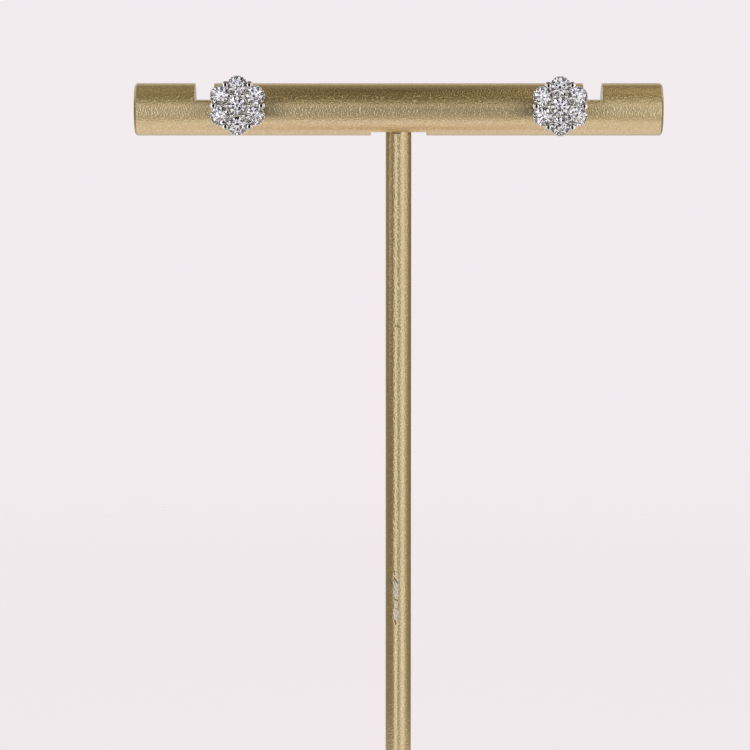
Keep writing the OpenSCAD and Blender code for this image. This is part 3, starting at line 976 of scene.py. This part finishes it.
def prong(foot, bow, tip, shaft, ball, power):
    """
    A round section carried along the curve (1-s)^2 foot + 2s(1-s) bow + s^2 tip in the x-z plane. Its
    radius is softly the larger of the shaft's and (ball^p - d^p)^(1/p), where d is the distance to the tip,
    and past the tip the ball closes. The power p is 2 for a round ball, and a larger one presses the ball's
    front flatter.
    """
    s = np.linspace(0, 1, PRONG_STEPS)[:, None]
    foot, bow, tip = (np.array(p, float) for p in (foot, bow, tip))
    path = (1 - s) ** 2 * foot + 2 * s * (1 - s) * bow + s ** 2 * tip
    ahead = (tip - bow) / np.linalg.norm(tip - bow)
    past = ball * np.sin(np.linspace(0, np.pi / 2, TIP_STEPS)[1:])[:, None] ** (2 / power)
    path = np.concatenate([path[:1], path, tip + past * ahead])
    way = np.gradient(path[1:], axis=0)
    way = np.concatenate([way[:1], way])
    way /= np.linalg.norm(way, axis=1, keepdims=True)
    away = np.linalg.norm(path - tip, axis=1)
    bead = np.maximum(ball ** power - away ** power, 0) ** (1 / power)
    before_tip = np.arange(len(path)) <= PRONG_STEPS
    radius = np.where(before_tip, (bead ** SOFT_MAX + shaft ** SOFT_MAX) ** (1 / SOFT_MAX), bead)
    radius[[0, -1]] = 0
    turn = full_turn(PRONG_AROUND)
    side = radius[:, None] * np.cos(turn)
    x = path[:, :1] + side * way[:, 1:]
    z = path[:, 1:] - side * way[:, :1]
    return skin(np.stack([x, radius[:, None] * np.sin(turn), z], axis=-1))


outer_prong = prong(
    (OUTER_FOOT, FOOT_Z), OUTER_BOW, (OUTER_R, OUTER_BALL_Z), OUTER_SHAFT, OUTER_BALL, OUTER_PRESS)
inner_prong = prong(
    (INNER_R, FOOT_Z), INNER_BOW, (INNER_R, INNER_BALL_Z), INNER_SHAFT, INNER_BALL, INNER_PRESS)
print("a prong has", len(outer_prong[1]), "quads")

# %% The webs and the post, both turned
web_path = soft_path(
    [(0, WEB_TOP - WEB_T), (WEB_R, WEB_TOP - WEB_T), (WEB_R, WEB_TOP), (0, WEB_TOP)], [0, 0.07, 0.07, 0])
web = skin(turned(web_path, 40))

tip_z = -POST_L
groove_low = tip_z + GROOVE_FROM_TIP
groove_high = groove_low + GROOVE_W
groove_r = POST_R - GROOVE_DEPTH
post = skin(turned(soft_path(
    [(0, tip_z), (POST_R / 2, tip_z), (POST_R, tip_z + POST_TIP), (POST_R, groove_low),
     (groove_r, groove_low + GROOVE_DEPTH), (groove_r, groove_high - GROOVE_DEPTH), (POST_R, groove_high),
     (POST_R, PLATE_T / 2), (0, PLATE_T / 2)],
    [0, 0.1, 0.1, 0.03, 0.03, 0.03, 0.03, 0, 0]), 40))
print("a web has", len(web[1]), "quads and the post", len(post[1]))

# %% The pierced plate
PLATE_SOFT = 0.06


def plate_lobe():
    """
    One sixth of the plate: a loop of (distance from the hole's middle, height) goes round the hole. Towards
    the lobe's round edge the loop reaches out to 1 lobe radius. Towards the next lobes it reaches the line
    between the two, at 0.5 LOBE_AT / cos(b - 120), and has no wall there, because the next lobe goes on.
    """
    meet_r = LOBE_AT * math.cos(math.pi / 6) + math.sqrt(LOBE_R ** 2 - (LOBE_AT / 2) ** 2)
    meet = math.atan2(meet_r * 0.5, meet_r * math.cos(math.pi / 6) - LOBE_AT)
    round_part = np.linspace(-meet, meet, 37)
    flat_part = np.linspace(meet, 2 * np.pi - meet, 25)[1:-1]
    beta = np.concatenate([round_part, flat_part])
    is_round = np.arange(len(beta)) < len(round_part)
    from_ray = np.minimum(np.abs(beta), 2 * np.pi - np.abs(beta)) - 2 * np.pi / 3
    reach = np.where(is_round, LOBE_R, 0.5 * LOBE_AT / np.cos(from_ray))
    corners = [(PIERCED_R, 0), (LOBE_R, 0), (LOBE_R, PLATE_T), (PIERCED_R, PLATE_T)]
    soft = soft_path(corners, [PLATE_SOFT] * 4)
    sharp = soft_path(corners, [PLATE_SOFT, 0, 0, PLATE_SOFT])
    loop = np.where(is_round[None, :, None], soft[:, None, :], sharp[:, None, :])
    out = PIERCED_R + (loop[..., 0] - PIERCED_R) * (reach - PIERCED_R) / (LOBE_R - PIERCED_R)
    grid = np.stack([LOBE_AT + out * np.cos(beta), out * np.sin(beta), loop[..., 1]], axis=-1)
    keep = np.ones(grid.shape[:2], bool)
    per_corner = len(soft) // 4
    keep[2 * per_corner - 2:2 * per_corner + 1, ~(is_round & np.roll(is_round, -1))] = False
    return skin(grid, ring=True, keep=keep)


lobe = plate_lobe()
plate = joined([spun(lobe, angle) for angle in petal_angles])
print("the plate has", len(plate[1]), "quads")

# %% The whole head, lying flat, and then one for each side
head_shells = [plate, post, raised(collar(CENTRE_D), 0, CENTRE_Z)]
for angle in petal_angles:
    head_shells.append(seated(collar(PETAL_D), angle))
for angle in crevice_angles:
    head_shells += [spun(shell, angle) for shell in (outer_prong, inner_prong, raised(web, OUTER_R, 0))]


def stood_up(shells, side, y, way):
    """Shells that lie flat, stood up on a side's post at y. They face forwards if way is -1, else back."""
    lo, hi = (np.array(corner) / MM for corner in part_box("stone_centre_" + side))
    x, _, z = (lo + hi) / 2
    return [(np.stack([x + p[:, 0], y + way * p[:, 2], z - way * p[:, 1]], axis=1), q) for p, q in shells]


heads = []
for side in SIDES:
    plate_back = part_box("setting_" + side)[1].y / MM - POST_L
    stood = stood_up(head_shells, side, plate_back, -1)
    heads.append(make_piece("flower_head_" + side, stood, white_metal, "setting_" + side))
light_only(head_panels, heads)

# %% [markdown]
# ## The clutches
# Behind the bar each post is held by a butterfly nut: a thin round plate whose two ends are rolled into
# scrolls that grip the post. A scroll is a flat strip, so its section is a rounded rectangle carried along
# a spiral.

# %% The clutches
CLUTCH_R, CLUTCH_T = 2.4, 0.3
CLUTCH_BORE = 0.43
SCROLL_R, SCROLL_W, SCROLL_SINK, SCROLL_BITE = 0.95, 2.2, 0.1, 0.02
SCROLL_TURNS, SCROLL_STEPS, SCROLL_EDGE = (-104, 246), 80, 0.07
SCROLL_SHRINKS, SHRINKS_OVER, SCROLL_END = 0.25, 1.15, 0.8


def scroll():
    """
    A section (a, b) carried round the spiral (r cos t, r sin t), with a along the spiral's normal and b
    across the strip. r is the middle of the strip, and shrinks where the strip curls inwards. The last
    section at each end is smaller, and then closes.
    """
    t = np.radians(np.linspace(*SCROLL_TURNS, SCROLL_STEPS))[:, None]
    curl = np.clip((t - np.pi) / SHRINKS_OVER, 0, 1) ** 1.5
    middle = (SCROLL_R - CLUTCH_T / 2) * (1 - SCROLL_SHRINKS * curl)
    half_t, half_w = CLUTCH_T / 2, SCROLL_W / 2
    section = soft_path(
        [(-half_t, -half_w), (half_t, -half_w), (half_t, half_w), (-half_t, half_w)], [SCROLL_EDGE] * 4)
    size = np.ones(len(t))[:, None]
    size[[0, -1]] = 0
    size[[1, -2]] = SCROLL_END
    t[1], t[-2] = t[0], t[-1]
    r = middle + size * section[:, 0]
    centre_x = CLUTCH_BORE + SCROLL_R - SCROLL_BITE
    centre_z = CLUTCH_T + SCROLL_R - SCROLL_SINK
    across = size * section[:, 1] + 0 * r
    return skin(np.stack([centre_x + r * np.cos(t), across, centre_z + r * np.sin(t)], axis=-1))


clutch_path = soft_path(
    [(CLUTCH_BORE, 0), (CLUTCH_R, 0), (CLUTCH_R, CLUTCH_T), (CLUTCH_BORE, CLUTCH_T)],
    [0.05, 0.08, 0.12, 0.05])
clutch_plate = skin(turned(clutch_path, 96), ring=True)
clutch_shells = [clutch_plate, scroll(), spun(scroll(), 180)]
for side in SIDES:
    stood = stood_up(clutch_shells, side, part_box("clutch_" + side)[0].y / MM, 1)
    make_piece("butterfly_clutch_" + side, stood, white_metal, "clutch_" + side)
